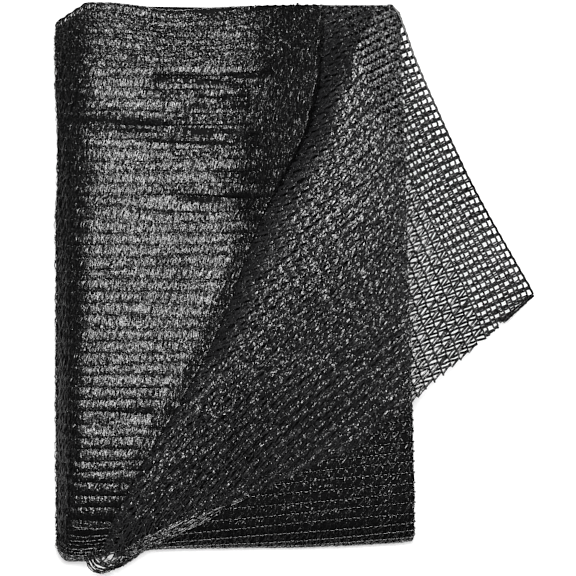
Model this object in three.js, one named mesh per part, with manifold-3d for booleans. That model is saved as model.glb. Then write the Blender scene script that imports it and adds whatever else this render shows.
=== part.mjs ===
// A knitted shade net, folded back and forth, doubled over its bottom fold into a flat pack,
// and with the corner of its top layer peeled over to the right so that it hangs past the pack.
// Millimetres, +Z up. The pack lies flat, its selvages at +Y, its bottom fold at -Y.
import * as THREE from 'three';
import { mergeGeometries, mergeVertices } from 'three/addons/utils/BufferGeometryUtils.js';
import Module from 'manifold-3d';

// Driving dimensions.
const netThickness = 2;
const layerPitch = 4;
const layersInHalf = 6;
const wrapDepth = 20;
const innerSetback = 24;
const foldLine = -195;
const topEdge = 239.5;
const slantReach = 60;
const pressStart = -120;
const pressShare = 0.5;
const cornerCutWidth = 22;
const cornerCutDepth = 16;
const cornerCutReach = 38;
const flapSettle = 4;
const flapDroop = 1.6;
const flapRoot = { deep: 12, shallow: 3, thickness: 1.2 };
const tipClearance = 0.6;
const walePitch = 9.6;
const courseRepeat = 7.8;
const gapScale = 1.5;
const gapBar = 4;
const gapMargin = { edge: 5.5, pack: 5 };

// Heights of the layers' middles from the mid-plane between the pack's two halves.
const layerHeight = (layer) => layerPitch * (layer + 0.5);
const [lowest, innerLow, innerMid, innerHigh, front, top] =
  Array.from({ length: layersInHalf }, (_, layer) => layerHeight(layer));
const halfThickness = top + netThickness / 2;
const foldLength = Math.PI * halfThickness;
const backStart = foldLine - foldLength;

// The peeled flap, a row for each section. run is the place along the outer layer: y down the front,
// then the arc round the bottom fold. silhouette is the roll's left side, crest its top line, rise the
// crest's height over the top layer, edge the flap's free edge: selvage down to the tip, then cut edge.
// In the last row the roll has run out, and the top layer's own cut edge goes on up the back.
const flapRows = [
  { run: 239.5, silhouette: 22, crest: 77, rise: 24, edge: 87 },
  { run: 218, silhouette: 21.5, crest: 62, rise: 24, edge: 93 },
  { run: 196, silhouette: 20.5, crest: 47, rise: 23, edge: 103.5 },
  { run: 169, silhouette: 18, crest: 36, rise: 20, edge: 112.5 },
  { run: 129, silhouette: 8, crest: 23, rise: 17, edge: 129 },
  { run: 96, silhouette: -9, crest: 5, rise: 15, edge: 145 },
  { run: 58, silhouette: -29, crest: -15, rise: 14, edge: 169.5 },
  { run: 2, silhouette: -50, crest: -37, rise: 13, edge: 196.5 },
  { run: -6.5, silhouette: -53, crest: -40.5, rise: 13, edge: 199.5 },
  { run: -27.5, silhouette: -61, crest: -49, rise: 13, edge: 177 },
  { run: -53, silhouette: -73, crest: -61, rise: 12.5, edge: 147.5 },
  { run: -93, silhouette: -95, crest: -83, rise: 12, edge: 101.5 },
  { run: -132.5, silhouette: -119, crest: -107, rise: 12, edge: 53 },
  { run: -167, silhouette: -139, crest: -128, rise: 12, edge: -24 },
  { run: -188, silhouette: -151, crest: -141, rise: 12, edge: -62 },
  { run: -213, silhouette: -163, crest: -153, rise: 12, edge: -105 },
  { run: -231, silhouette: -176, crest: -163, rise: 12, edge: -128 },
  { run: -243, silhouette: -180, crest: -171, rise: 9.5, edge: -150 },
  { run: -251, silhouette: -182, crest: -176, rise: 5, edge: -166 },
  { run: backStart, silhouette: -190, crest: -190, rise: 0, edge: -190 },
];
const tipRow = flapRows.reduce((far, row) => (row.edge > far.edge ? row : far));

// The folded layers, a row for each section: the pack's left and right sides, and how far the front
// layer swells where the peeled flap has bared it.
const packRows = [
  { run: topEdge, left: -199, right: 84, crown: 2 },
  { run: 215, left: -199.7, right: 89, crown: 4 },
  { run: 169, left: -200.4, right: 92, crown: 6 },
  { run: 96, left: -199.6, right: 94.5, crown: 4.5 },
  { run: 2, left: -199.2, right: 96.5, crown: 5.5 },
  { run: -93, left: -200.4, right: 99.8, crown: 5 },
  { run: -120, left: -200.2, right: 99.8, crown: 4.2 },
  { run: -140, left: -200, right: 99.8, crown: 3.6 },
  { run: -160, left: -199.8, right: 99.8, crown: 3 },
  { run: -178, left: -199.9, right: 99.8, crown: 2 },
  { run: foldLine, left: -200, right: 99.8, crown: 1 },
  { run: -204, left: -200, right: 99, crown: 0.5 },
  { run: -213, left: -200, right: 97, crown: 0 },
  { run: -222, left: -200, right: 95, crown: 0 },
  { run: -231, left: -200, right: 94, crown: 0 },
  { run: -241, left: -199, right: 94, crown: 0 },
  { run: -254, left: -198, right: 95, crown: 0 },
  { run: backStart, left: -197, right: 96, crown: 0 },
  { run: -300, left: -197, right: 96.5, crown: 0 },
  { run: -342, left: -197, right: 97, crown: 0 },
  { run: -480, left: -198, right: 95, crown: 0 },
  { run: -695, left: -197, right: 91, crown: 0 },
];

// The bottom fold's own line, which sags to the left where the peeled layer no longer holds it in.
const foldAxis = [
  { x: -200, y: -195 },
  { x: -176, y: -208 },
  { x: -150, y: -199 },
  { x: -120, y: -196 },
  { x: 0, y: -195 },
  { x: 90, y: -189 },
  { x: 100, y: -187 },
];

const clamp01 = (share) => Math.min(Math.max(share, 0), 1);
const ease = (share) => 0.5 - 0.5 * Math.cos(Math.PI * clamp01(share));

// Reads a column of a table at a place between its rows.
function between(rows, keyColumn, key, column) {
  const rising = rows[0][keyColumn] < rows.at(-1)[keyColumn];
  const passed = (row) => (rising ? row[keyColumn] >= key : row[keyColumn] <= key);
  const found = rows.findIndex(passed);
  const next = found < 0 ? rows.length - 1 : Math.max(found, 1);
  const [a, b] = [rows[next - 1], rows[next]];
  const share = clamp01((key - a[keyColumn]) / (b[keyColumn] - a[keyColumn]));
  return a[column] + (b[column] - a[column]) * share;
}

// The pack is pressed thinner towards its bottom fold.
function pressed(y, z) {
  const share = clamp01((pressStart - y) / (pressStart - foldLine + halfThickness));
  return z * (1 - pressShare * share ** 1.5);
}

// Places a section's point: x across, height from the mid-plane, run along the outer layer.
function place(x, height, run) {
  const axis = between(foldAxis, 'x', x, 'y');
  const slant = axis - foldLine;
  const turn = Math.min(Math.max((foldLine - run) / halfThickness, 0), Math.PI);
  const z = halfThickness + height * Math.cos(turn);
  if (turn > 0 && turn < Math.PI) {
    const bentY = axis - height * Math.sin(turn);
    return new THREE.Vector3(x, bentY, pressed(bentY, z));
  }
  const fromFold = turn > 0 ? backStart - run : run - foldLine;
  const y = foldLine + fromFold + slant * ease(1 - fromFold / slantReach);
  const cornerShare = ease((packRows[0].left + cornerCutWidth - x) / cornerCutWidth);
  const topShare = ease((y - topEdge + cornerCutReach) / cornerCutReach);
  return new THREE.Vector3(x, y - cornerCutDepth * cornerShare * topShare, pressed(y, z));
}

// A straight run of cloth, without its first point.
function straight(path, toX, height, steps, lift = () => 0) {
  const fromX = path.at(-1).x;
  for (let i = 1; i <= steps; i++) {
    const x = fromX + ((toX - fromX) * i) / steps;
    path.push({ x, height: height + lift(x) });
  }
}

// A half turn of cloth from one height to another, reaching to the right (or left if negative).
function halfTurn(path, toHeight, reach, steps) {
  const { x, height } = path.at(-1);
  const middle = (height + toHeight) / 2;
  for (let i = 1; i <= steps; i++) {
    const angle = (Math.PI * i) / steps;
    path.push({
      x: x + reach * Math.sin(angle),
      height: middle + (height - middle) * Math.cos(angle),
    });
  }
}

// One section of the folded layers: top layer, front layer, wrap round the left side, inner layers.
function packSection({ run, left, right, crown }) {
  const foldReach = layerPitch / 2;
  const side = right - foldReach - netThickness / 2;
  const silhouette = between(flapRows, 'run', run, 'silhouette');
  const crownAt = (x) => crown * Math.sin(Math.PI * clamp01((x - left) / (silhouette - left)));
  const path = [{ x: between(flapRows, 'run', run, 'crest'), height: top }];
  straight(path, side, top, 2);
  halfTurn(path, front, foldReach, 5);
  straight(path, left + wrapDepth, front, 9, crownAt);
  halfTurn(path, lowest, netThickness / 2 - wrapDepth, 9);
  straight(path, side - foldReach, lowest, 2);
  halfTurn(path, innerLow, foldReach, 5);
  straight(path, left + innerSetback, innerLow, 2);
  halfTurn(path, innerMid, -foldReach, 5);
  straight(path, side - foldReach / 2, innerMid, 2);
  halfTurn(path, innerHigh, foldReach, 5);
  straight(path, left + innerSetback, innerHigh, 2);
  return { run, path };
}

// How high the flap lies over the top layer: down from the crest, level, then drooping past the pack.
function flapHeight(x, run, { crest, rise, edge }) {
  const settle = Math.min(flapSettle * rise, edge - crest);
  const laid = layerPitch + (rise - layerPitch) * ease(1 - (x - crest) / settle);
  const side = between(packRows, 'run', run, 'right') - netThickness;
  const drop = top + layerPitch + halfThickness - netThickness / 2 - tipClearance;
  return top + laid - drop * Math.max((x - side) / (tipRow.edge - side), 0) ** flapDroop;
}

// One section of the flap: rooted inside the top layer, round the roll, over its crest, to its edge.
function flapSection(row) {
  const { run, silhouette, crest, rise, edge } = row;
  const half = flapRoot.thickness / 2;
  const path = [flapRoot.deep, flapRoot.shallow].map((inset) => ({ x: crest + inset, height: top, half }));
  const reach = crest - silhouette - netThickness / 2;
  for (const degrees of [18, 42, 66, 90, 114, 138, 160, 180]) {
    const angle = THREE.MathUtils.degToRad(degrees);
    const height = top + (rise / 2) * (1 - Math.cos(angle));
    path.push({ x: crest - reach * Math.sin(angle), height });
  }
  const steps = 12;
  for (let i = 1; i <= steps; i++) {
    const x = crest + (edge - crest) * (i / steps) ** 1.5;
    path.push({ x, height: flapHeight(x, run, row) });
  }
  return { run, path };
}

// A closed sheet through its sections, each path thickened to both sides.
function sheet(sections) {
  const count = sections[0].path.length;
  const points = [];
  for (const { run, path } of sections) {
    path.forEach((point, i) => {
      const before = path[Math.max(i - 1, 0)];
      const after = path[Math.min(i + 1, count - 1)];
      const length = Math.hypot(after.x - before.x, after.height - before.height);
      const half = (point.half ?? netThickness / 2) / length;
      const acrossX = (before.height - after.height) * half;
      const acrossHeight = (after.x - before.x) * half;
      points.push(place(point.x + acrossX, point.height + acrossHeight, run));
      points.push(place(point.x - acrossX, point.height - acrossHeight, run));
    });
  }
  const at = (section, i, side) => 2 * (section * count + i) + side;
  const index = [];
  const quad = (a, b, c, d) => index.push(a, c, b, a, d, c);
  const last = sections.length - 1;
  for (let s = 0; s < last; s++) {
    for (let i = 0; i < count - 1; i++) {
      quad(at(s, i, 0), at(s, i + 1, 0), at(s + 1, i + 1, 0), at(s + 1, i, 0));
      quad(at(s, i, 1), at(s + 1, i, 1), at(s + 1, i + 1, 1), at(s, i + 1, 1));
    }
    quad(at(s, 0, 1), at(s, 0, 0), at(s + 1, 0, 0), at(s + 1, 0, 1));
    quad(at(s, count - 1, 0), at(s, count - 1, 1), at(s + 1, count - 1, 1), at(s + 1, count - 1, 0));
  }
  for (let i = 0; i < count - 1; i++) {
    quad(at(0, i, 0), at(0, i, 1), at(0, i + 1, 1), at(0, i + 1, 0));
    quad(at(last, i, 1), at(last, i, 0), at(last, i + 1, 0), at(last, i + 1, 1));
  }
  const geometry = new THREE.BufferGeometry().setFromPoints(points);
  geometry.setIndex(index);
  return geometry;
}

// The gaps of the knit where the free corner is one layer, in rows along its selvage from the tip.
function cornerGaps() {
  const along = new THREE.Vector2(-0.44, 0.898);
  const across = new THREE.Vector2(-along.y, along.x);
  const tip = new THREE.Vector2(tipRow.edge, tipRow.run);
  const pitch = new THREE.Vector2(courseRepeat, walePitch).multiplyScalar(gapScale);
  const [long, wide] = [pitch.x - gapBar, pitch.y - gapBar];
  const inside = ({ x, y }) =>
    x > between(packRows, 'run', y, 'right') + gapMargin.pack &&
    x < between(flapRows, 'run', y, 'edge') - gapMargin.edge;
  const reach = packRows[0].run - tipRow.run;
  const gaps = [];
  for (let a = -reach; a < reach; a += pitch.x) {
    for (let b = gapBar; b < reach; b += pitch.y) {
      const corner = (da, db) => tip.clone().addScaledVector(along, a + da).addScaledVector(across, b + db);
      const corners = [corner(0, 0), corner(long, 0), corner(long, wide), corner(0, wide)];
      if (!corners.every(inside)) continue;
      const depth = 2 * (halfThickness + netThickness);
      const prism = new THREE.ExtrudeGeometry(new THREE.Shape(corners), { depth, bevelEnabled: false });
      gaps.push(prism.translate(0, 0, -netThickness));
    }
  }
  return mergeGeometries(gaps);
}

const wasm = await Module();
wasm.setup();

function solid(geometry) {
  const bare = geometry.clone();
  bare.deleteAttribute('normal');
  bare.deleteAttribute('uv');
  const merged = mergeVertices(bare, 1e-4);
  return new wasm.Manifold(new wasm.Mesh({
    numProp: 3,
    vertProperties: merged.attributes.position.array,
    triVerts: new Uint32Array(merged.index.array),
  }));
}

const pack = solid(sheet(packRows.map(packSection)));
const flap = solid(sheet(flapRows.filter(({ rise }) => rise > 0).map(flapSection)));
const net = pack.add(flap).subtract(solid(cornerGaps())).getMesh();

const geometry = new THREE.BufferGeometry();
geometry.setAttribute('position', new THREE.BufferAttribute(net.vertProperties, 3));
geometry.setIndex(new THREE.BufferAttribute(net.triVerts, 1));
const blackKnit = new THREE.MeshStandardMaterial({ color: 0x17181a, roughness: 0.42, metalness: 0 });
const shadeNet = new THREE.Mesh(geometry, blackKnit);
shadeNet.name = 'shade_net';

const object = new THREE.Group();
object.add(shadeNet);
export default object;
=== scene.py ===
import math

import bmesh
import bpy
import numpy as np
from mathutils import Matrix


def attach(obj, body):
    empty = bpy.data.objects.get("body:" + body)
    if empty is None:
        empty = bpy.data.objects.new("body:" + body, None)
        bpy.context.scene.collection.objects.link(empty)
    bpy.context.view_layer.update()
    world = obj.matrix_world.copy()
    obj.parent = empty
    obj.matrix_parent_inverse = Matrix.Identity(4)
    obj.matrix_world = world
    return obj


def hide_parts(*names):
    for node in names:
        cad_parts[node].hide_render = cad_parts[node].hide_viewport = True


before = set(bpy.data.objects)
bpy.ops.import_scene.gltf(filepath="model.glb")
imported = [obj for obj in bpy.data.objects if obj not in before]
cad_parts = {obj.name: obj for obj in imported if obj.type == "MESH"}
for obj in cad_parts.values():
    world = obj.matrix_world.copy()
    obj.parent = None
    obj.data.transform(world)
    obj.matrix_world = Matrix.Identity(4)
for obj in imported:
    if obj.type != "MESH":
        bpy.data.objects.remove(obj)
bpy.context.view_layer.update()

# The folded layers
# One length of warp-knitted net, folded back and forth and doubled over its bottom fold. This sheet is the
# dark ground of its layers, behind the yarns that the next sections knit; only its own folds hold it.
MM = 0.001
layer_pitch, fold_radius = 4.0, 2.0
fold_line, top_edge, back_end = -195.0, 239.5, -695.0
lowest, inner_low, inner_mid, inner_high, front, top = (layer_pitch * (layer + 0.5) for layer in range(6))
half_thickness = top + 1.0
back_start = fold_line - math.pi * half_thickness
slant_reach = 150.0
corner_cut_width, corner_cut_depth, corner_cut_reach = 25.0, 14.0, 38.0
top_wave = (
    (-205, 0), (-175, 2.4), (-152, 2.2), (-128, -0.6), (-112, -3.4), (-97, -3.8), (-80, -2.6), (-55, -1.3),
    (-20, 0))
top_wave_reach = 70.0

flap_columns = ("run", "silhouette", "crest", "rise", "held", "edge")
flap_rows = (
    (239.5, 22, 79, 24, 22.5, 81),
    (231, 22, 80, 24, 22.5, 88),
    (218, 21.5, 80, 24, 22, 93),
    (196, 20.5, 77, 24, 21.5, 100.5),
    (169, 18, 65, 23.5, 21, 112),
    (150, 13.5, 56, 23, 20.5, 120.5),
    (129, 8, 51, 23, 20, 130),
    (96, -9, 43, 23.5, 19, 145.5),
    (77, -19, 39, 24, 18.5, 155.5),
    (58, -29, 37, 24.5, 18, 166),
    (30, -39.5, 35, 25, 18, 182.5),
    (2, -50, 18, 24.5, 17.5, 199),
    (-5.5, -52.6, 12, 24.5, 17.5, 202.5),
    (-27.5, -61, -8, 23, 17, 178),
    (-53, -73, -29, 21, 16, 148),
    (-93, -95, -53, 19.5, 15, 101.5),
    (-132.5, -119, -77, 18, 13.5, 53),
    (-168, -139, -105, 16.5, 10, -26),
    (-190, -151, -125, 15, 7, -65.5),
    (-216, -163, -146, 12, 4, -109),
    (-224, -164, -151, 11, 3.5, -119.5),
    (-231, -163, -152, 10, 3, -128),
    (-243, -160, -153, 8, 2.5, -148),
    (-251, -158, -154, 5, 2, -153),
    (back_start, -156, -156, 0, 0, -156),
)
pack_columns = ("run", "left", "right", "crown")
pack_rows = (
    (239.5, -200.2, 84, 2),
    (215, -201.3, 89, 4),
    (169, -201.3, 92, 6),
    (140, -199.6, 93, 5.5),
    (96, -199.4, 94.5, 4.5),
    (60, -201.2, 95.5, 5),
    (2, -200.8, 97, 5.5),
    (-93, -201.2, 100.3, 5),
    (-160, -200.8, 102, 3),
    (fold_line, -201, 102.3, 1),
    (-213, -201, 102, 0),
    (-231, -201, 100, 0),
    (-254, -199, 98, 0),
    (back_start, -198, 97, 0),
    (-480, -198, 95, 0),
    (back_end, -197, 91, 0),
)
fold_axis = (
    (-201, -199), (-176, -198), (-150, -197), (-120, -196), (0, -195), (45, -193.5), (90, -191),
    (103, -189))
fold_bulge = ((-201, 13), (-190, 11.5), (-176, 12), (-150, 6), (-120, 0.6), (-100, 0))


def read(rows, columns, column, run):
    table = np.array(rows, float)[::-1]
    return np.interp(run, table[:, 0], table[:, columns.index(column)])


def flap(column, run):
    return read(flap_rows, flap_columns, column, run)


def pack(column, run):
    return read(pack_rows, pack_columns, column, run)


def read_line(line, at):
    return np.interp(at, *np.array(line, float).T)


def ease(share):
    return 0.5 - 0.5 * np.cos(np.pi * np.clip(share, 0, 1))


def blend(pair, share):
    return pair[0] + (pair[1] - pair[0]) * share


# The pack is pressed thinner towards its bottom fold, and most at the right.
press_start, press_share, press_curve = (-125.0, -30.0), (0.34, 0.58), 1.9
press_left, press_reach = -150.0, 110.0


def place(x, height, run):
    """The point x across the pack, height off its mid-plane and run along the net, round its bottom fold."""
    x, height, run = np.broadcast_arrays(*(np.asarray(part, float) for part in (x, height, run)))
    axis, bulge = read_line(fold_axis, x), read_line(fold_bulge, x)
    turn = np.pi * np.clip((axis - run) / (axis - back_start), 0, 1)
    turning = (turn > 0) & (turn < np.pi)
    up_back = np.maximum(back_start - run, 0)
    slant = (axis - fold_line) * ease(1 - up_back / slant_reach)
    flat_y = np.where(turn > 0, fold_line + up_back + slant, run)
    corner_share = np.clip((pack("left", top_edge) + corner_cut_width - x) / corner_cut_width, 0, 1)
    top_share = ease((flat_y - top_edge + corner_cut_reach) / corner_cut_reach)
    wave = read_line(top_wave, x) * ease((flat_y - top_edge + top_wave_reach) / top_wave_reach)
    flat_y = flat_y - corner_cut_depth * corner_share * top_share + wave
    y = np.where(turning, axis - (height + bulge) * np.sin(turn), flat_y)
    z = half_thickness + height * np.cos(turn)
    rightward = ease((x - press_left) / press_reach)
    start, share = blend(press_start, rightward), blend(press_share, rightward)
    z = z * (1 - share * np.clip((start - y) / (start - fold_line + half_thickness), 0, 1) ** press_curve)
    return np.stack([x, y, z], axis=-1)


# Soft troughs of the bared front layer: each from one x and y to another, with its width and its height.
crease_rows = (
    (-60, 178, -20, 182, 2.0, -1.5),
    (-110, 162, -40, 164, 2.0, -1.6),
    (-92, 152.5, -40, 155, 2.0, -1.6),
    (-100, 143, -45, 144, 2.0, -1.6),
    (-100, 114, -66, 113, 2.0, -1.4),
    (-66, 95, -42, 96, 2.0, -1.4),
    (-108, 85, -60, 85, 2.0, -1.4),
    (-96, 76, -45, 76, 2.0, -1.4),
    (-146, 136, -56, 131, 2.4, -0.9),
    (-122, 127, -52, 123, 2.2, -1.1),
    (-112, 177, -55, 173, 2.2, -1.5),
    (-155, 139, -40, 128, 8, -2.9),
    (-112, 174, -50, 169, 8, -2.8),
    (-125, 74, -45, 70, 8, -1.8),
    (-165, -112, -108, -106, 8, -1.5),
    (-150, 205, -80, 212, 12, -1.3),
)
climb_start, climb_reach = 20.0, 120.0
roll_foot_rise, roll_foot_reach, roll_foot_back, roll_foot_toe = (7.0, 32.0), (24.0, 95.0), 12.0, 0.75
roll_foot_start, roll_foot_fade = -200.0, 60.0
roll_foot_dip, roll_foot_approach = (5.0, 6.6), 85.0
dip_start, dip_fade = -70.0, 100.0


def front_height(x, run):
    """How high the bared layer lies: crowned, dipping and then climbing to the roll's foot, and creased."""
    left, silhouette = pack("left", run), flap("silhouette", run)
    height = front + pack("crown", run) * np.sin(np.pi * np.clip((x - left) / (silhouette - left), 0, 1))
    climb = ease((run - climb_start) / climb_reach)
    foot = blend(roll_foot_rise, climb) * ease((run - roll_foot_start) / roll_foot_fade)
    reach = np.where(x < silhouette, blend(roll_foot_reach, climb), roll_foot_back)
    dip = roll_foot_dip[0] * ease((run - dip_start) / dip_fade)
    dip = dip + (roll_foot_dip[1] - roll_foot_dip[0]) * climb
    height = height - dip * ease((x - silhouette + reach + roll_foot_approach) / roll_foot_approach)
    near = np.clip(1 - np.abs(x - silhouette) / reach, 0, 1)
    toe = near / 2 - roll_foot_toe / (2 * np.pi) * np.sin(np.pi * near / roll_foot_toe)
    rising = np.where(near < roll_foot_toe, toe, near - roll_foot_toe / 2)
    height = height + foot * rising / (1 - roll_foot_toe / 2)
    for x0, y0, x1, y1, width, rise in crease_rows:
        step_x, step_run = x1 - x0, y1 - y0
        along = ((x - x0) * step_x + (run - y0) * step_run) / (step_x**2 + step_run**2)
        along = np.clip(along, 0, 1)
        away = np.hypot(x - x0 - along * step_x, run - y0 - along * step_run)
        height = height + rise * np.exp(-((away / width) ** 2))
    return height


def half_turn(x, height, to_height, reach, share):
    angle = np.pi * share
    middle = (height + to_height) / 2
    return x + reach * np.sin(angle), middle + (height - middle) * np.cos(angle)


wrap_depth, wrap_turn, wrap_fall, wrap_fall_share = 44.0, 1.8, 2.2, 0.86
wrap_depths = ((-695, 26), (-310, 26), (-235, 12), (-180, 24), (-40, 32), (60, 40), (140, 44), (240, 44))


def wrap_start(run):
    return pack("left", run) + read_line(wrap_depths, run)


def wrap(start, height, left, share):
    """Round the left side: a long fall to the side's foot, then a tight turn under."""
    fall = np.clip(share / wrap_fall_share, 0, 1)
    angle = np.pi * np.clip((share - wrap_fall_share) / (1 - wrap_fall_share), 0, 1)
    foot = left + wrap_turn
    foot_height = lowest + 2 * wrap_turn
    x = start + (foot - start) * fall - wrap_turn * np.sin(angle)
    return x, height + (foot_height - height) * fall**wrap_fall - wrap_turn * (1 - np.cos(angle))


side_setback, low_setback, high_setback, inner_setback = 3.0, 5.0, 4.0, 24.0
ground_sunk, flap_root, covered_columns = 0.9, 3.0, 12


def ground_section(column, run):
    """Where a numbered column of the ground lies in the section at run: across, and from the mid-plane."""
    left, right = pack("left", run), pack("right", run)
    side, low_side, high_side = right - side_setback, right - low_setback, right - high_setback
    inner_left = left + inner_setback
    # Each stretch: its kind, its first x, the x or height that it ends at, its height or reach, its columns.
    stops = (
        ("straight", flap("crest", run) + flap_root, side, top - ground_sunk, covered_columns),
        ("turn", side, front, fold_radius - ground_sunk, 6),
        ("front", side, wrap_start(run), None, 50),
        ("wrap", wrap_start(run), lowest, ground_sunk, 18),
        ("straight", left + wrap_turn, low_side, lowest, 4),
        ("turn", low_side, inner_low, fold_radius, 6),
        ("straight", low_side, inner_left, inner_low, 4),
        ("turn", inner_left, inner_mid, -fold_radius, 6),
        ("straight", inner_left, high_side, inner_mid, 4),
        ("turn", high_side, inner_high, fold_radius, 6),
        ("straight", high_side, inner_left, inner_high, 4),
    )
    x = np.zeros_like(run)
    height = np.full_like(run, top - ground_sunk)
    last_height = height.copy()
    first = 0
    for kind, start, end, size, steps in stops:
        share = (column - first) / steps
        here = (share >= 0) & (share <= 1)
        share = np.clip(share, 0, 1)
        if kind == "turn":
            new_x, new_height = half_turn(start, last_height, end, size, share)
            end_height = np.full_like(run, end)
        elif kind == "wrap":
            new_x, new_height = wrap(start, last_height, left + size, share)
            end_height = np.full_like(run, end)
        elif kind == "straight":
            new_x, new_height = start + (end - start) * share, np.full_like(run, size)
            end_height = new_height
        else:
            new_x = start + (end - start) * share
            new_height = front_height(new_x, run) - ground_sunk
            end_height = front_height(end, run) - ground_sunk
        x, height = np.where(here, new_x, x), np.where(here, new_height, height)
        last_height = end_height
        first += steps
    return x, height


ground_columns, ground_rows, ground_hem = 120, 150, 1.0
droop_start, droop_width, droop_depth, droop_reach = -165.0, 8.0, 5.0, 11.0
bm = bmesh.new()
bmesh.ops.create_grid(bm, x_segments=ground_columns, y_segments=ground_rows, size=0.5, calc_uvs=False)
flat = np.array([vert.co[:2] for vert in bm.verts]) + 0.5
column = flat[:, 0] * ground_columns
run = top_edge - ground_hem - flat[:, 1] * (top_edge - back_end - 2 * ground_hem)
x, height = ground_section(column, run)
from_top = top_edge - ground_hem - run
droop = droop_depth * ease((droop_start - x) / droop_width) * (1 - from_top / droop_reach)
run_shown = np.where(from_top < droop_reach, run - droop, run)
for vert, spot in zip(bm.verts, place(x, height, run_shown) * MM):
    vert.co = spot
uv_layer = bm.loops.layers.uv.new("cloth")
for face in bm.faces:
    for loop in face.loops:
        loop[uv_layer].uv = flat[loop.vert.index]
    face.smooth = True
ground_mesh = bpy.data.meshes.new("net_ground")
bm.to_mesh(ground_mesh)
bm.free()
net_ground = bpy.data.objects.new("net_ground", ground_mesh)
bpy.context.collection.objects.link(net_ground)


def principled(name):
    material = bpy.data.materials.new(name)
    material.use_nodes = True
    nodes, links = material.node_tree.nodes, material.node_tree.links
    return material, nodes, links, nodes["Principled BSDF"]


dark_ground, nodes, links, shader = principled("dark_ground")
shader.inputs["Base Color"].default_value = (0.0014, 0.0014, 0.0015, 1)
shader.inputs["Roughness"].default_value = 0.6
shader.inputs["Specular IOR Level"].default_value = 0.04
coords = nodes.new("ShaderNodeTexCoord")
grain = nodes.new("ShaderNodeTexNoise")
grain.inputs["Scale"].default_value = 420
grain.inputs["Detail"].default_value = 3
bump = nodes.new("ShaderNodeBump")
bump.inputs["Strength"].default_value = 0.8
bump.inputs["Distance"].default_value = 0.001
links.new(coords.outputs["Object"], grain.inputs["Vector"])
links.new(grain.outputs["Fac"], bump.inputs["Height"])
links.new(bump.outputs["Normal"], shader.inputs["Normal"])
ground_mesh.materials.append(dark_ground)
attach(net_ground, "root")
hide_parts("shade_net")

# Tapes of the bared front layer
# Flat black polyethylene tapes, laid in zigzags between the chains of the knit, two side by side. On this
# face they bulge up between the chains, and twist, so that each catches the light in its own way.
chain_pitch, stitch = 9.6, 7.4
selvage_chains = (0, 5.0, 10.4, 14.0, 19.4, 23.7, 29.1, 33.2, 38.6, 42.6, 48.0, 52.0)
selvage_width = selvage_chains[-1]
body_chains = 112
chain_distance = np.concatenate([selvage_chains, selvage_width + chain_pitch * np.arange(1, body_chains)])
body_tapes = ((1.16, 0.56), (0.86, 0.26), (0.14, 0.16), (-0.14, -0.12))
wide_rungs = ((0.0, 0.02), (0.2, 0.23), (0.42, 0.4), (0.22, 0.18))
narrow_rungs = ((0.02, 0.05), (0.22, 0.18), (0.4, 0.42), (0.56, 0.54))
edge_rungs = ((0.0, 0.06), (0.27, 0.22), (0.02, 0.05), (0.25, 0.22))
tight_rungs = ((0.0, 0.04), (0.25, 0.22), (0.5, 0.53), (0.75, 0.72))
tight_gap = 4
tape_overlap, sway_share, kink_share, arch_curve = 0.04, 0.8, 0.3, 0.7


def chain_at(number):
    return np.interp(number, np.arange(len(chain_distance)), chain_distance)


def lay_tapes(gaps, courses, lay, face, lifts, jitter, seed, rings=5, crumple=0.1, body=body_tapes):
    """Where the tapes of some gaps between chains lie on the cloth, course by course, and how far off it."""
    random = np.random.default_rng(seed)
    grid = np.meshgrid(gaps, courses, np.arange(len(body)), indexing="ij")
    gap, course, tape = (part.ravel() for part in grid)
    plans = np.array([body, wide_rungs, narrow_rungs, edge_rungs, tight_rungs])
    plan = np.where(gap == 0, 3, np.where(gap == tight_gap, 4, 2 - gap % 2)).astype(int)
    plan = np.where(gap >= len(selvage_chains) - 1, 0, plan)
    ends = plans[plan, tape] + random.uniform(-jitter, jitter, (len(gap), 2))
    share = np.linspace(-tape_overlap, 1 + tape_overlap, rings)
    sway = random.normal(0, jitter * sway_share, (len(gap), 1)) * np.sin(np.pi * share)
    sway = sway + random.normal(0, jitter * kink_share, (len(gap), rings))
    phase = ends[:, :1] + (ends[:, 1:] - ends[:, :1]) * share + sway
    along = (course[:, None] + phase) * stitch
    across = gap[:, None] + share
    base, bulge, scatter = lifts
    arch = np.sin(np.pi * np.clip(share, 0, 1)) ** arch_curve
    lift = base + (bulge + random.normal(0, scatter, (len(gap), 1))) * arch
    lift = lift + random.normal(0, crumple, lift.shape)
    s, run = lay(along, across)
    return s, run, lift, face


def unit(vectors):
    return vectors / np.maximum(np.linalg.norm(vectors, axis=-1, keepdims=True), 1e-9)


def lift_strands(s, run, lift, face, keep):
    """Strands on their layer, where keep shows them, with the layer's outward direction at each point."""
    middle = s.shape[1] // 2
    kept = keep(s[:, middle], run[:, middle])
    s, run, lift = s[kept], run[kept], lift[kept]
    points = face(s, run, lift)
    across = face(s + 1, run, 0) - face(s - 1, run, 0)
    normal = np.cross(across, face(s, run + 1, 0) - face(s, run - 1, 0))
    upward = np.sum(normal * (face(s, run, lift + 1) - points), axis=-1, keepdims=True)
    return points, unit(normal * np.sign(upward))


def twist(points, amount, seed):
    return np.random.default_rng(seed).normal(0, amount, points.shape[:2])


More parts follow.
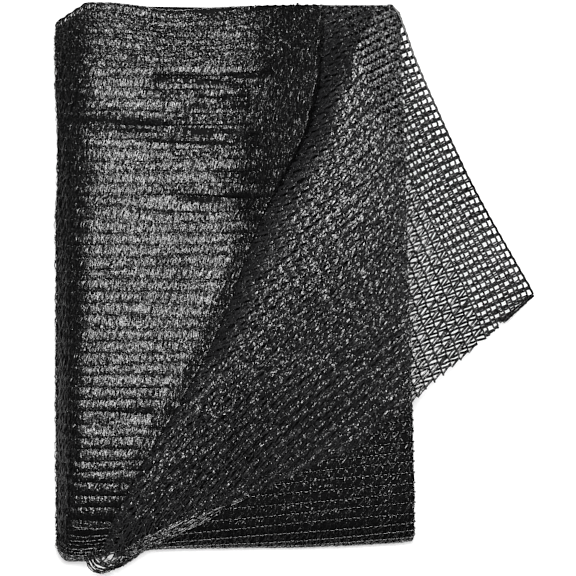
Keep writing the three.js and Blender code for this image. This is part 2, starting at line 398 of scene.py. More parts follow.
def sweep(points, outward, profile, roll):
    """The profile carried along each centre line, turned about it by roll; one of two corners stays open."""
    tangent = unit(np.gradient(points, axis=1))
    side = unit(np.cross(tangent, outward))
    away = np.cross(side, tangent)
    cosine, sine = np.cos(roll)[..., None], np.sin(roll)[..., None]
    profile_side, profile_away = side * cosine + away * sine, away * cosine - side * sine
    rings = points[:, :, None] + profile_side[:, :, None] * profile[:, :1]
    rings = rings + profile_away[:, :, None] * profile[:, 1:]
    count, length, corners = rings.shape[:3]
    index = np.arange(count * length * corners).reshape(count, length, corners)
    turned = np.roll(index, -1, axis=2)
    walls = np.stack([index[:, :-1], index[:, 1:], turned[:, 1:], turned[:, :-1]], axis=-1)
    caps = np.concatenate([index[:, 0], index[:, -1, ::-1]])
    if corners == 2:
        walls, caps = walls[:, :, :1], caps[:0]
    return rings.reshape(-1, 3), walls.reshape(-1, 4), caps


floor_gap = 0.05


def knit_piece(name, points, outward, profile, roll, material, seed, smooth=False):
    """One joined mesh of all the strands, each with its own tone, fixed to the net."""
    verts, walls, caps = sweep(points, outward, np.array(profile, float), roll)
    verts[:, 2] = np.maximum(verts[:, 2], floor_gap)
    mesh = bpy.data.meshes.new(name)
    mesh.vertices.add(len(verts))
    mesh.vertices.foreach_set("co", (verts * MM).astype(np.float32).ravel())
    corners = np.concatenate([walls.ravel(), caps.ravel()]).astype(np.int32)
    sizes = np.concatenate([np.full(len(walls), 4), np.full(len(caps), caps.shape[1])])
    mesh.loops.add(len(corners))
    mesh.loops.foreach_set("vertex_index", corners)
    mesh.polygons.add(len(sizes))
    mesh.polygons.foreach_set("loop_start", (np.cumsum(sizes) - sizes).astype(np.int32))
    mesh.update(calc_edges=True)
    mesh.polygons.foreach_set("use_smooth", np.full(len(sizes), smooth))
    tone = np.random.default_rng(seed).uniform(0, 1, len(points))
    mesh.attributes.new("tone", "FLOAT", "POINT").data.foreach_set(
        "value", np.repeat(tone, len(verts) // len(points)).astype(np.float32))
    mesh.materials.append(material)
    piece = bpy.data.objects.new(name, mesh)
    bpy.context.collection.objects.link(piece)
    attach(piece, "root")
    return piece


streak_scale, gloss_range = 800, (-0.08, 0.1)
dark_tone, light_tone = np.array((0.5, 0.5, 0.55)), np.array((1.5, 1.5, 1.6))


def black_yarn(name, roughness, shine, grain, tone_level):
    """Glossy black plastic, lighter or darker by the strand, with fine streaks along its surface."""
    material, nodes, links, shader = principled(name)
    shader.inputs["Specular IOR Level"].default_value = shine
    tone = nodes.new("ShaderNodeAttribute")
    tone.attribute_name = "tone"
    shade = nodes.new("ShaderNodeValToRGB")
    shade.color_ramp.elements[0].color = (*dark_tone * tone_level, 1)
    shade.color_ramp.elements[1].color = (*light_tone * tone_level, 1)
    coords = nodes.new("ShaderNodeTexCoord")
    streak = nodes.new("ShaderNodeTexNoise")
    streak.inputs["Scale"].default_value = streak_scale
    streak.inputs["Detail"].default_value = 0
    gloss = nodes.new("ShaderNodeMapRange")
    gloss.inputs["To Min"].default_value = roughness + gloss_range[0]
    gloss.inputs["To Max"].default_value = roughness + gloss_range[1]
    bump = nodes.new("ShaderNodeBump")
    bump.inputs["Strength"].default_value = 1.0
    bump.inputs["Distance"].default_value = grain
    links.new(tone.outputs["Fac"], shade.inputs["Fac"])
    links.new(shade.outputs["Color"], shader.inputs["Base Color"])
    links.new(coords.outputs["Object"], streak.inputs["Vector"])
    links.new(streak.outputs["Fac"], gloss.inputs["Value"])
    links.new(gloss.outputs["Result"], shader.inputs["Roughness"])
    links.new(streak.outputs["Fac"], bump.inputs["Height"])
    links.new(bump.outputs["Normal"], shader.inputs["Normal"])
    return material


black_tape = black_yarn("black_tape", roughness=0.28, shine=0.47, grain=0.00025, tone_level=0.0012)
tape_profile = ((-0.6, -0.03), (0.6, -0.03), (0.0, 0.03))
front_shift, front_stretch, front_spacing = 3.4, 0.925, 1.05
front_waves = ((1.1, 41, 0.8), (0.7, 19, 2.3))
front_bend, bend_start, bend_climb, bend_climb_reach = 0.0042, -48.0, 20.0, 150.0


def front_lay(along, across):
    along = front_stretch * along
    run = top_edge + front_shift - front_spacing * chain_at(across)
    wander = sum(size * np.sin(along / length + shift * across) for size, length, shift in front_waves)
    bend = front_bend * np.maximum(along - bend_start, 0) ** 2 * ease((run - bend_climb) / bend_climb_reach)
    return along, run + wander + bend


wrap_shares, wrap_step = np.linspace(0, 1, 200), 0.01
wrap_arc = np.concatenate([[0], np.cumsum(np.hypot(*np.diff(wrap(0, front, -wrap_depth, wrap_shares))))])


def front_face(s, run, lift):
    """The bared layer's upper face, and round its left side."""
    left, start = pack("left", run), wrap_start(run)
    start_height = front_height(start, run)
    share = np.interp((start - s) * wrap_depth / (start - left), wrap_arc, wrap_shares)
    wrap_x, wrap_height = wrap(start, start_height, left, share)
    x0, height0 = wrap(start, start_height, left, share - wrap_step)
    x1, height1 = wrap(start, start_height, left, share + wrap_step)
    length = np.hypot(x1 - x0, height1 - height0)
    wrapped = s < start
    x = np.where(wrapped, wrap_x + lift * (height1 - height0) / length, s)
    height = np.where(wrapped, wrap_height - lift * (x1 - x0) / length, front_height(s, run) + lift)
    return place(x, height, run)


strand_hem, wrap_end, under_roll = 3.2, 10.0, 5.0


def bared(s, run):
    within = (s > pack("left", run) - wrap_end) & (s < flap("silhouette", run) + under_roll)
    return within & (run > back_start) & (run < top_edge - strand_hem)


front_gaps, front_courses = np.arange(0, 58), np.arange(-36, 6)
spots = lay_tapes(
    front_gaps, front_courses, front_lay, front_face,
    lifts=(-0.2, 0.9, 0.35), jitter=0.13, seed=11, rings=6, crumple=0.17)
points, outward = lift_strands(*spots, bared)
roll = twist(points, amount=0.12, seed=12)
front_tapes = knit_piece("front_tapes", points, outward, tape_profile, roll, black_tape, seed=13)
spots = lay_tapes(
    front_gaps, front_courses + 0.5, front_lay, front_face,
    lifts=(-0.7, 0.7, 0.3), jitter=0.15, seed=16, crumple=0.18)
points, outward = lift_strands(*spots, bared)
roll = twist(points, amount=0.13, seed=17)
second_tapes = knit_piece("second_tapes", points, outward, tape_profile, roll, black_tape, seed=18)

# Chains of the bared front layer
# Pillar stitches of round black monofilament, knitted in long rows over the tapes to hold them. On this
# face they lie sunk between the tapes; each stitch is a long leg and a short one that locks it.
black_chain = black_yarn("black_chain", roughness=0.25, shine=0.6, grain=0.0002, tone_level=0.0013)
sunk_profile = ((-0.7, -0.2), (0.7, -0.2), (0.0, 0.4))
stitch_legs = ((-0.03, 0.68, 0.15, 0.45), (0.55, 1.05, -0.4, -0.1))
chain_scatter = 0.08


def lay_chains(numbers, courses, lay, face, lifts, jitter, seed, rings=5, legs=stitch_legs):
    """Where the legs of some chains lie on the cloth, course by course, and how far off it."""
    random = np.random.default_rng(seed)
    grid = np.meshgrid(numbers, courses, np.arange(len(legs)), indexing="ij")
    number, course, leg = (part.ravel() for part in grid)
    start, end, from_side, to_side = np.array(legs)[leg].T[:, :, None]
    share = np.linspace(0, 1, rings)
    shift = random.normal(0, jitter, (len(number), 1))
    along = (course[:, None] + start + (end - start) * share + shift) * stitch
    across = number[:, None] + (from_side + (to_side - from_side) * share) / chain_pitch
    base, bulge = lifts
    lift = base + bulge * np.sin(np.pi * share) + random.normal(0, chain_scatter, (len(number), 1))
    s, run = lay(along, np.clip(across, 0, None))
    return s, run, lift, face


spots = lay_chains(
    front_gaps, front_courses, front_lay, front_face, lifts=(-0.7, 0.4), jitter=0.03, seed=14, rings=4)
points, outward = lift_strands(*spots, bared)
front_chains = knit_piece(
    "front_chains", points, outward, sunk_profile, 0.0, black_chain, seed=15, smooth=True)

# Yarns of the bottom fold
# The last tapes of the front layer at the lower left, where the net is drawn tight round its bottom fold.
# They are the same flat black tape, and lie close beside each other along the fold.
fold_count, fold_samples, fold_lift = 13, 46, 1.1
fold_scatter, fold_wander, fold_twist = 0.6, 0.14, 0.3
fold_profile = ((-0.36, -0.03), (0.36, -0.03), (0.0, 0.03))
fold_x = np.linspace(-200, -146, fold_samples)
fold_runs = np.linspace(-199, -236, fold_count)[:, None]
random = np.random.default_rng(19)
fold_runs = fold_runs + random.normal(0, fold_scatter, fold_runs.shape)
fold_runs = fold_runs + np.cumsum(random.normal(0, fold_wander, (fold_count, fold_samples)), axis=1)
fold_s, fold_lifts = np.broadcast_to(fold_x, fold_runs.shape), np.full(fold_runs.shape, fold_lift)
points = front_face(fold_s, fold_runs, fold_lifts)
outward = np.broadcast_to((0.0, 0.1, 1.0), points.shape)
roll = random.normal(0, fold_twist, points.shape[:2])
fold_yarns = knit_piece("fold_yarns", points, outward, fold_profile, roll, black_tape, seed=20)

# Left side of the back half
# The front layer runs on round the bottom fold and up the back, where only its wrap round the left side
# shows: the same flat tapes, held by the turn of the layer under the pack.
wrap_gaps, wrap_courses = np.arange(52, 100), np.arange(-34, -24)


def back_wrap(s, run):
    within = (s > pack("left", run) - wrap_end) & (s < wrap_start(run))
    return within & (run <= back_start) & (run > back_end + ground_hem)


spots = lay_tapes(
    wrap_gaps, wrap_courses, front_lay, front_face, lifts=(-0.3, 1.0, 0.3), jitter=0.13, seed=21)
points, outward = lift_strands(*spots, back_wrap)
roll = twist(points, amount=0.3, seed=22)
wrap_tapes = knit_piece("wrap_tapes", points, outward, tape_profile, roll, black_tape, seed=23)

# Top layer
# The outermost layer, of the same tapes and chains, with the chains on its outer face. It shows below the
# flap's cut edge, turns round the bottom fold, and is the whole underside; its right side turns down into
# the front layer.
top_slant, top_middle, top_shift, top_stretch = 0.09, 38.4, 2.1, 0.9
top_wander, top_wander_length, top_wander_shift = 0.5, 31, 1.7
under_flap, side_band, turn_end = 30.0, 12.0, 6.0
crest_gap, under_gap, under_hem = 4.0, 2.0, 0.5
chain_profile = ((-0.75, 0.0), (0.0, -0.5), (0.75, 0.0), (0.0, 0.5))
flat_profile = ((-0.62, -0.1), (0.62, -0.1), (0.0, 0.12))
top_gaps, under_gaps, top_courses = np.arange(0, 74), np.arange(64, 118), np.arange(-26, 15)


def top_lay(along, across):
    run = top_edge - top_stretch * chain_at(across) + top_shift + top_slant * (along - top_middle)
    return along, run + top_wander * np.sin(along / top_wander_length + top_wander_shift * across)


def top_face(s, run, lift):
    side = pack("right", run) - side_setback
    angle = np.clip((s - side) / fold_radius, 0, np.pi)
    x = np.minimum(s, side) + (fold_radius + lift) * np.sin(angle)
    height = top - fold_radius + (fold_radius + lift) * np.cos(angle)
    return place(x, height, run)


def top_shown(s, run):
    side = pack("right", run) - side_setback
    clear = (s > flap("edge", run) - under_flap) | (s > side - side_band)
    within = (s > flap("crest", run) + crest_gap) & (s < side + turn_end)
    return clear & within & (run > back_start) & (run < top_edge - strand_hem)


def underside(s, run):
    within = (s > flap("crest", run) + under_gap) & (s < pack("right", run) - side_setback + turn_end)
    return within & (run <= back_start) & (run > back_end + under_hem)


spots = lay_tapes(
    top_gaps, top_courses, top_lay, top_face, lifts=(-0.4, 0.4, 0.3), jitter=0.2, seed=31, crumple=0.2)
points, outward = lift_strands(*spots, top_shown)
roll = twist(points, amount=0.42, seed=32)
top_tapes = knit_piece("top_tapes", points, outward, flat_profile, roll, black_tape, seed=33)
spots = lay_chains(top_gaps, top_courses, top_lay, top_face, lifts=(0.1, 0.6), jitter=0.02, seed=34)
points, outward = lift_strands(*spots, top_shown)
top_chains = knit_piece(
    "top_chains", points, outward, chain_profile, 0.0, black_chain, seed=35, smooth=True)

spots = lay_tapes(
    under_gaps, top_courses, top_lay, top_face, lifts=(-0.5, 0.2, 0.1), jitter=0.06, seed=36, rings=2)
points, outward = lift_strands(*spots, underside)
roll = twist(points, amount=0.2, seed=37)
under_tapes = knit_piece("under_tapes", points, outward, flat_profile, roll, black_tape, seed=38)
spots = lay_chains(
    under_gaps, top_courses, top_lay, top_face, lifts=(0.2, 0.0), jitter=0.02, seed=39, rings=2)
points, outward = lift_strands(*spots, underside)
under_chains = knit_piece(
    "under_chains", points, outward, sunk_profile, 0.0, black_chain, seed=40, smooth=True)

# Right side of the inner layers
# Each pair of inner layers is one turn of the same net, and shows at the right as a rib below the top
# layer's. It has the same tapes and chains, and is held only by the layers that lie on it.
side_turns = (
    ((lowest + inner_low) / 2, low_setback, 41, 45),
    ((inner_mid + inner_high) / 2, high_setback, 42, 46),
)
side_gaps, side_courses = np.arange(0, 104), np.arange(-1, 2)


def side_lay(along, across):
    return along, top_edge - chain_at(across)


def side_turn(middle, setback):
    def side_face(s, run, lift):
        angle = s / fold_radius
        x = pack("right", run) - setback + (fold_radius + lift) * np.sin(angle)
        return place(x, middle + (fold_radius + lift) * np.cos(angle), run)

    return side_face


def side_shown(s, run):
    round_turn = (s > -1) & (s < math.pi * fold_radius + 1)
    return round_turn & (run > back_end + ground_hem) & (run < top_edge - ground_hem)


def joined(strands):
    return (np.concatenate(parts) for parts in zip(*strands))


tape_strands, chain_strands = [], []
for middle, setback, tape_seed, chain_seed in side_turns:
    side_face = side_turn(middle, setback)
    spots = lay_tapes(
        side_gaps, side_courses, side_lay, side_face, lifts=(0.0, 0.5, 0.2), jitter=0.12, seed=tape_seed)
    tape_strands.append(lift_strands(*spots, side_shown))
    spots = lay_chains(
        side_gaps, side_courses, side_lay, side_face, lifts=(0.3, 0.5), jitter=0.02, seed=chain_seed)
    chain_strands.append(lift_strands(*spots, side_shown))
points, outward = joined(tape_strands)
roll = twist(points, amount=0.2, seed=43)
side_tapes = knit_piece("side_tapes", points, outward, tape_profile, roll, black_tape, seed=44)
points, outward = joined(chain_strands)
side_chains = knit_piece(
    "side_chains", points, outward, chain_profile, 0.0, black_chain, seed=47, smooth=True)

# Selvages of the layers
# The net's two selvages end the layers of both halves at the top. The outermost chain of each is a heavier
# black yarn, knitted in with the rest and drawn in a little at every stitch.
end_steps, end_samples, end_inset, end_wave = 4000, 900, 0.8, 0.5
end_columns = np.linspace(covered_columns, ground_columns, end_steps)
strands = []
for end_run, inwards in ((top_edge - end_inset, -1), (back_end + end_inset, 1)):
    x, height = ground_section(end_columns, np.full(len(end_columns), end_run))
    length = np.concatenate([[0], np.cumsum(np.hypot(np.diff(x), np.diff(height)))])
    even = np.linspace(0, length[-1], end_samples)
    x, height = np.interp(even, length, x), np.interp(even, length, height)
    drawn_in = end_wave * (1 + np.cos(2 * np.pi * even / stitch))
    strands.append(place(x, height, end_run + inwards * drawn_in))
points = np.stack(strands)
outward = np.broadcast_to((0.0, 1.0, 0.0), points.shape)
end_yarns = knit_piece(
    "end_yarns", points, outward, chain_profile, 0.0, black_chain, seed=48, smooth=True)

# Peeled flap
# The top layer's corner, peeled over to the right: one open layer of crumpled tapes and glossy chains, inner
# face up, held only by the turn of its roll. Its selvage runs down to the tip, and its cut edge back across
# the pack to the roll's end.
flap_settle, flap_droop, tip_clearance = 75.0, 1.6, 0.6
held_least, held_reach = 3.0, 140.0
droop_setback, low_droop_setback, low_droop_start, low_droop_fade = 5.0, 28.0, 75.0, 60.0
roll_low, roll_under, roll_under_length = 0.15, 8.0, 9.3
ramp_start, ramp_reach = 150.0, 50.0
bend_narrowing = ((129, 0), (150, 8), (169, 16), (196, 28), (218, 20), (231, 10), (239.5, 5))
flap_table = np.array(flap_rows, float)
edge_column = flap_columns.index("edge")
cut = flap_table[np.argmax(flap_table[:, edge_column]):-1, [edge_column, 0]]
tip = cut[0]
selvage_angle, chain_lean, lean_reach = math.radians(114.6), math.radians(-2.4), 110.0
selvage_stretch, body_stretch, body_tightness, course_drop = 0.96, 1.2, 0.95, 0.23
up = np.array((math.cos(selvage_angle), math.sin(selvage_angle)))
inward = np.array((-up[1], up[0]))
cut_across, cut_along = (cut - tip) @ inward, (cut - tip) @ up


def flap_lay(along, across):
    """Along the chains, which start at the cut edge and lean a little more the further in they are."""
    distance = chain_at(across)
    from_selvage = distance - (1 - body_tightness) * np.maximum(distance - selvage_width, 0)
    inside = ease(from_selvage / lean_reach)
    lean = selvage_angle + chain_lean * inside
    step_x, step_run = np.cos(lean), np.sin(lean)
    away = (along - np.interp(from_selvage, cut_across, cut_along)) / (step_x * up[0] + step_run * up[1])
    x = np.interp(from_selvage, cut_across, cut[:, 0]) + away * step_x
    run = np.interp(from_selvage, cut_across, cut[:, 1]) + away * step_run
    above = np.maximum(run, tip[1])
    straight = tip[0] + (above - tip[1]) * up[0] / up[1]
    return x + (flap("edge", above) - straight) * (1 - inside), run


def selvage_lay(along, across):
    return flap_lay(selvage_stretch * along, across)


def body_lay(along, across):
    in_body = np.maximum(chain_at(across) - selvage_width, 0)
    return flap_lay(body_stretch * along - course_drop * in_body, across)


def flap_height(x, run):
    """How high the flap lies behind the roll's crest, down to where it droops past the pack's right side."""
    crest, rise, edge = flap("crest", run), flap("rise", run), flap("edge", run)
    settle = np.minimum(flap_settle, np.maximum(edge - crest, 1))
    from_cut = np.where(run < tip[1], edge - x, edge - x + 2 * (run - tip[1]))
    held = held_least + (flap("held", run) - held_least) * ease(from_cut / held_reach)
    laid = held + (rise - held) * ease(1 - (x - crest) / settle)
    setback = droop_setback + low_droop_setback * ease((low_droop_start - run) / low_droop_fade)
    side = pack("right", run) - setback
    drop = top + layer_pitch + half_thickness - 1 - tip_clearance
    return top + laid - drop * np.clip((x - side) / (tip[0] - side), 0, None) ** flap_droop


def flap_face(s, run, lift):
    """The flap's upper face; short of the crest, the roll's side and then its turn under."""
    crest = flap("crest", run) - read_line(bend_narrowing, run)
    rise = np.maximum(flap("rise", run), 1)
    reach = np.maximum(crest - flap("silhouette", run) - 1, 1)
    low = roll_low * rise
    sine = np.clip((crest - s) / reach, 0, 1)
    ramp = ease((run - ramp_start) / ramp_reach)
    cosine = np.sqrt(np.maximum(1 - sine**2, 0.01))
    fall = (1 - ramp) * (1 + cosine - sine**2) / 2 + ramp * (1 - sine)
    slope = (rise - low) * ((1 - ramp) * (sine + sine / cosine / 2) + ramp * (sine > 0)) / reach
    turn = np.pi / 2 * np.clip((crest - reach - s) / roll_under_length, 0, 1)
    under = s < crest - reach
    normal_x = np.where(under, -np.cos(turn) / roll_under, -slope)
    normal_height = np.where(under, -np.sin(turn) / low, 1)
    length = np.hypot(normal_x, normal_height)
    roll_x = crest - reach * sine + np.where(under, roll_under * (1 - np.cos(turn)), 0)
    roll_height = top + low + np.where(under, -low * np.sin(turn), (rise - low) * fall)
    rolled = s < crest
    x = np.where(rolled, roll_x + lift * normal_x / length, s)
    height = np.where(rolled, roll_height + lift * normal_height / length, flap_height(s, run) + lift)
    return place(x, height, run)


flap_hem, edge_margin, end_margin, end_start, end_fade = 3.5, 1.2, 14.0, -165.0, 25.0
turn_shown, corner_start, chain_setback, bend_reach = 0.9, 1.0, 4.0, 60.0


def flap_shown(s, run):
    margin = edge_margin + end_margin * ease((end_start - run) / end_fade)
    hem = flap("silhouette", run) + 1 - turn_shown * roll_under_length
    within = (s > hem) & (s < flap("edge", run) - margin)
    return within & (run < top_edge - flap_hem) & (run > flap_table[-2, 0])


def over_pack(s, run):
    return flap_shown(s, run) & (s < pack("right", run) - corner_start)


def free_corner(s, run):
    return flap_shown(s, run) & (s >= pack("right", run) - corner_start)


def chains_shown(s, run):
    return over_pack(s + chain_setback, run)


def free_chains(s, run):
    return free_corner(s + chain_setback, run)


def spread(s, run):
    """From 0 where the net is drawn tight over the roll's bend to 1 where it lies loose."""
    return ease((s - flap("silhouette", run)) / bend_reach)


crest_width, crest_fade = 30.0, 60.0
low_start, low_reach = -20.0, 110.0


def low_down(run):
    return ease((low_start - run) / low_reach)


crumpled_profile = ((0.7, 0.0), (-0.7, 0.0))
open_tapes = ((0.46, 0.18), (0.16, -0.12), (-0.29, 0.03), (-0.67, -0.28))
# The flap's tapes are the same black tape with a base colour five times lighter: painted light that lifts
# the flap's shaded, darkest places.
flap_tape_painted_light = black_yarn("flap_tape_painted_light", roughness=0.32, shine=0.58, grain=0.0003, tone_level=0.006)
tight_lift = (0.35, 1.0)
tight_twist, spread_twist, crest_twist, low_twist, low_turn = 0.06, 0.12, 0.2, 0.12, 0.2
flap_courses = np.arange(-34, 60)
selvage_gaps, body_gaps = np.arange(0, 11), np.arange(11, 60)
flap_bars = (
    (selvage_lay, selvage_gaps, flap_courses, (0.0, 0.7, 0.2), (0.0, 0.0), 51),
    (body_lay, body_gaps, flap_courses, (0.0, 0.7, 0.2), (0.0, 0.26), 49),
    (body_lay, body_gaps, flap_courses + 0.5, (-1.0, 0.5, 0.2), (-0.6, 0.5), 47),
)
strands, turned = [], []
for lay, gaps, courses, lifts, (steep_turn, shallow_turn), seed in flap_bars:
    s, run, lift, face = lay_tapes(
        gaps, courses, lay, flap_face, lifts,
        jitter=0.06, seed=seed, rings=7, crumple=0.07, body=open_tapes)
    points, outward = lift_strands(s, run, lift * blend(tight_lift, spread(s, run)), face, over_pack)
    strands.append((points, outward))
    x_length, y_length = np.abs(points[:, -1, :2] - points[:, 0, :2]).T
    turned.append(np.where(x_length > y_length, shallow_turn, steep_turn))
points, outward = joined(strands)
x, y = points[..., 0], points[..., 1]
on_crest = np.exp(-(((x - flap("crest", y)) / crest_width) ** 2)) * ease((crest_fade - y) / crest_fade)
loose_twist = tight_twist + spread_twist * spread(x, y) + crest_twist * on_crest + low_twist * low_down(y)
roll = twist(points, amount=1, seed=52) * loose_twist
roll = roll + np.concatenate(turned)[:, None] + low_turn * low_down(y)
flap_tapes = knit_piece("flap_tapes", points, outward, crumpled_profile, roll, flap_tape_painted_light, seed=53)

open_chain_profile = ((-0.7, -0.05), (0.7, -0.05), (0.35, 0.22), (-0.35, 0.22))
stepped_legs = ((0.0, 0.78, 0.9, -0.9), (0.76, 1.02, -0.9, 0.9))
chain_twist, chain_bend_turn, chain_low_turn = 0.3, 0.6, 0.3
# The flap's chains are the same black yarn with a base colour about three times lighter: painted highlight
# on the flap's chains.
flap_chain_painted_light = black_yarn("flap_chain_painted_light", roughness=0.24, shine=0.7, grain=0.0001, tone_level=0.004)
strands = []
for lay, numbers, seed in ((selvage_lay, np.arange(0, 12), 54), (body_lay, np.arange(12, 60), 50)):
    spots = lay_chains(
        numbers, flap_courses, lay, flap_face,
        lifts=(0.4, 0.7), jitter=0.02, seed=seed, rings=4, legs=stepped_legs)
    strands.append(lift_strands(*spots, chains_shown))
points, outward = joined(strands)
x, y = points[..., 0], points[..., 1]
roll = np.random.default_rng(74).normal(0, chain_twist, (len(points), 1))
roll = roll + chain_bend_turn * (1 - spread(x, y)) + chain_low_turn * low_down(y)
flap_chains = knit_piece(
    "flap_chains", points, outward, open_chain_profile, roll, flap_chain_painted_light, seed=55, smooth=True)

# Free corner of the flap
# Past the pack's right side the flap is one open layer, drawn flat, so each tape shows as a line of its own.
# It is the same knit as the rest: slanted tapes in the body, and short rungs between the selvage's chains.
drawn_profile = ((-1.0, 0.0), (0.0, -0.4), (1.0, 0.0), (0.0, 0.3))
rung_profile = ((-0.76, 0.0), (0.0, -0.35), (0.76, 0.0), (0.0, 0.3))
drawn_chain = ((-0.8, 0.0), (0.0, -0.4), (0.8, 0.0), (0.0, 0.4))
corner_lifts, corner_jitter = (0.0, 0.5, 0.15), 0.04
spots = lay_tapes(
    body_gaps[:20], flap_courses, body_lay, flap_face,
    corner_lifts, corner_jitter, seed=56, body=open_tapes)
points, outward = lift_strands(*spots, free_corner)
roll = twist(points, amount=0.2, seed=57)
corner_tapes = knit_piece("corner_tapes", points, outward, drawn_profile, roll, black_tape, seed=58)
spots = lay_tapes(
    selvage_gaps, flap_courses, selvage_lay, flap_face, corner_lifts, corner_jitter, seed=59)
points, outward = lift_strands(*spots, free_corner)
roll = twist(points, amount=0.2, seed=60)
corner_rungs = knit_piece("corner_rungs", points, outward, rung_profile, roll, black_tape, seed=70)
strands = []
for lay, numbers, seed in ((selvage_lay, np.arange(0, 12), 71), (body_lay, np.arange(12, 32), 72)):
    spots = lay_chains(
        numbers, flap_courses, lay, flap_face, lifts=(0.4, 0.7), jitter=0.02, seed=seed, rings=4)
    strands.append(lift_strands(*spots, free_chains))
points, outward = joined(strands)
corner_chains = knit_piece(
    "corner_chains", points, outward, drawn_chain, 0.0, black_chain, seed=73, smooth=True)

# Cut edge of the flap
# Where the net was cut off its length, its last tapes come loose. They lie bunched along the edge, curl
# round the end of the roll, and are held only by the knit that they come from.
edge_steps, edge_softening, edge_bunching, edge_wave = 100, 9, 1.2, 0.2
edge_shortest, edge_lifts, edge_runs = 0.6, (0.3, 1.4), np.linspace(-228, -120, 400)
curl_start, curl_reach, curl_rise = -118.0, 25.0, 2.5

# The bunch's outer x and y, and its inner x and y, from the roll's end along the edge.
edge_rows = (
    (-176.6, -225.8, -166.5, -217.4),
    (-173.3, -233.3, -164.9, -224),
    (-169.1, -237.5, -161.5, -227.9),
    (-163.2, -239.6, -157.3, -229.1),
    (-155.6, -237.9, -152.3, -227.4),
    (-148, -234.6, -147.2, -224.1),
    (-140.5, -229.5, -140.5, -219),
    (-134.6, -225.8, -134.6, -214.8),
    (-126.2, -219, -127.9, -209.8),
    (-112.8, -213.2, -115.3, -203.9),
    (-96, -204.8, -98.5, -195.5),
    (-79.2, -197.2, -82.5, -187.1),
    (-60.7, -187.1, -64.1, -177),
    (-35.5, -175.3, -38.9, -166.9),
)


def resample(rows, places):
    return np.stack([np.interp(places, np.arange(len(rows)), column) for column in rows.T], axis=-1)


def edge_strands(count, samples, seed):
    """Strands between the outer and the inner line, laid on the flap."""
    random = np.random.default_rng(seed)
    rows = resample(np.array(edge_rows, float), np.linspace(0, len(edge_rows) - 1, edge_steps))
    kernel = np.hanning(edge_softening) / np.hanning(edge_softening).sum()
    ends = np.pad(rows, ((edge_softening // 2, edge_softening // 2), (0, 0)), mode="edge")
    rows = np.stack([np.convolve(column, kernel, mode="valid") for column in ends.T], axis=-1)
    share = np.linspace(0, 1, count)[:, None, None] ** edge_bunching
    lengths = random.uniform(edge_shortest, 1, (count, 1))
    rows = resample(rows, np.linspace(0, 1, samples) * lengths * (edge_steps - 1))
    wave = np.cumsum(random.normal(0, edge_wave, (count, samples, 2)), axis=1)
    wave = np.clip(wave - wave.mean(axis=1, keepdims=True), -1, 1)
    x, y = np.moveaxis(rows[..., :2] * (1 - share) + rows[..., 2:] * share + wave, -1, 0)
    laid = place(x[..., None], flap_height(x[..., None], edge_runs), edge_runs)
    nearest = np.argmin(np.abs(laid[..., 1] - y[..., None]), axis=-1)[..., None]
    z = np.take_along_axis(laid[..., 2], nearest, axis=-1)[..., 0]
    z = z + random.uniform(*edge_lifts, (count, 1)) + curl_rise * ease((curl_start - x) / curl_reach)
    return np.stack([x, y, z], axis=-1)


edge_profile = ((-0.48, -0.03), (0.48, -0.03), (0.0, 0.03))
edge_turn, edge_turn_start, edge_turn_reach = 0.35, -135.0, 30.0
points = edge_strands(count=17, samples=110, seed=61)
outward = np.broadcast_to((0.0, 0.0, 1.0), points.shape)
turned = edge_turn * ease((points[..., 0] - edge_turn_start) / edge_turn_reach)
roll = twist(points, amount=0.3, seed=62) + turned
edge_yarns = knit_piece("edge_yarns", points, outward, edge_profile, roll, black_tape, seed=63)

cut_samples, cut_end, cut_slant, cut_lift = 24, -28.0, 0.6, 0.4
cut_insets, cut_scatter = np.array([[0.6], [2.2]]), 0.15
cut_run = np.linspace(tip[1], cut_end, cut_samples)
cut_from_edge = cut_insets + np.random.default_rng(64).normal(0, cut_scatter, (2, cut_samples))
cut_s = flap("edge", cut_run) - cut_from_edge / cut_slant
points = flap_face(cut_s, np.broadcast_to(cut_run, cut_s.shape), np.full(cut_s.shape, cut_lift))
outward = np.broadcast_to((0.0, 0.0, 1.0), points.shape)
roll = twist(points, amount=0.3, seed=65)
cut_yarns = knit_piece(
    "cut_yarns", points, outward, drawn_profile, roll, black_chain, seed=66, smooth=True)

# Selvage of the flap
# The outermost chain of the knit, down the flap's long side to the tip. It is a heavier black yarn, knitted
# in with the rest and drawn in a little at every stitch.
selvage_profile = ((-1.0, 0.0), (0.0, -0.6), (1.0, 0.0), (0.0, 0.6))
selvage_lift, selvage_inset, selvage_wave = 0.3, 0.1, 0.05
selvage_along = np.arange(-1, 54, 0.25)[None] * stitch
selvage_in = selvage_inset + selvage_wave * np.cos(2 * np.pi * selvage_along / stitch)
s, run = flap_lay(selvage_along, selvage_in)
kept = (run[0] < top_edge - ground_hem) & (run[0] > tip[1])
points = flap_face(s[:, kept], run[:, kept], np.full((1, kept.sum()), selvage_lift))
outward = np.broadcast_to((0.0, 0.0, 1.0), points.shape)
selvage_yarn = knit_piece(
    "selvage_yarn", points, outward, selvage_profile, 0.0, black_chain, seed=67, smooth=True)

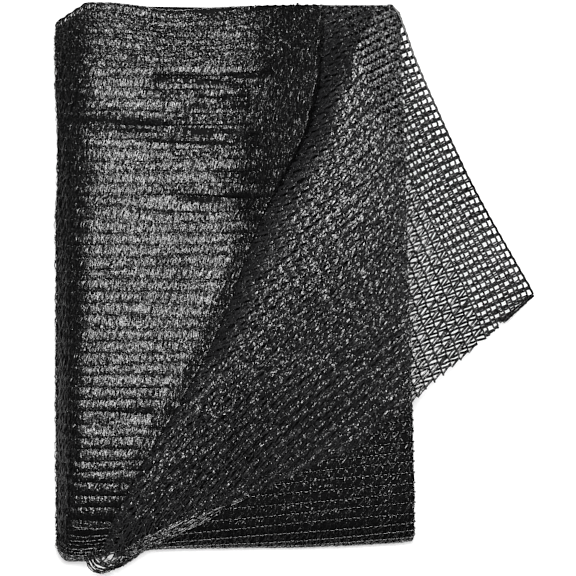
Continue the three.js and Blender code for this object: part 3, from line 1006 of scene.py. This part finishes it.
# Floor, light and camera
# A plain white table top, lit by one large softbox overhead and a faint white room. The camera looks
# straight down from high above, so that the pack's sides stay hidden.
floor_mesh = bpy.data.meshes.new("floor")
bm = bmesh.new()
bmesh.ops.create_grid(bm, x_segments=1, y_segments=1, size=4)
bm.to_mesh(floor_mesh)
bm.free()
floor = bpy.data.objects.new("floor", floor_mesh)
bpy.context.collection.objects.link(floor)
white_table, nodes, links, shader = principled("white_table")
shader.inputs["Base Color"].default_value = (0.5, 0.5, 0.5, 1)
shader.inputs["Roughness"].default_value = 0.8
shader.inputs["Emission Color"].default_value = (1, 1, 1, 1)
shader.inputs["Emission Strength"].default_value = 0.6
floor_mesh.materials.append(white_table)

softbox_side, softbox_back, softbox_height = 0.7, 0.25, 1.6
softbox = bpy.data.lights.new("softbox", "AREA")
softbox.shape = "RECTANGLE"
softbox.size, softbox.size_y = softbox_side, softbox_side
softbox.energy = 60
softbox_object = bpy.data.objects.new("softbox", softbox)
softbox_object.location = (0, softbox_back, softbox_height)
softbox_object.rotation_euler = (-math.atan2(softbox_back, softbox_height), 0, 0)
bpy.context.collection.objects.link(softbox_object)

world = bpy.data.worlds.new("studio")
bpy.context.scene.world = world
world.use_nodes = True
world.node_tree.nodes["Background"].inputs["Color"].default_value = (1, 1, 1, 1)
world.node_tree.nodes["Background"].inputs["Strength"].default_value = 0.04
bpy.context.scene.view_settings.view_transform = "Standard"

# The finished picture is sharpened very slightly; the net itself has no part in this.
bpy.context.scene.use_nodes = True
picture = bpy.context.scene.node_tree
crisp = picture.nodes.new("CompositorNodeFilter")
crisp.filter_type = "SHARPEN"
crisp.inputs["Fac"].default_value = 0.015
picture.links.new(picture.nodes["Render Layers"].outputs["Image"], crisp.inputs["Image"])
picture.links.new(crisp.outputs["Image"], picture.nodes["Composite"].inputs["Image"])

photo_pixels, pixel_size = 576, 0.84
view_centre = (-5.25, 1.05)
camera_height, focus_height = 10.0, 46 * MM
view_width = photo_pixels * pixel_size * MM
camera_data = bpy.data.cameras.new("camera")
camera_data.sensor_width = 36
camera_data.lens = camera_data.sensor_width * (camera_height - focus_height) / view_width
camera_data.clip_end = 100
camera = bpy.data.objects.new("camera", camera_data)
camera.location = (view_centre[0] * MM, view_centre[1] * MM, camera_height)
bpy.context.collection.objects.link(camera)
bpy.context.scene.camera = camera
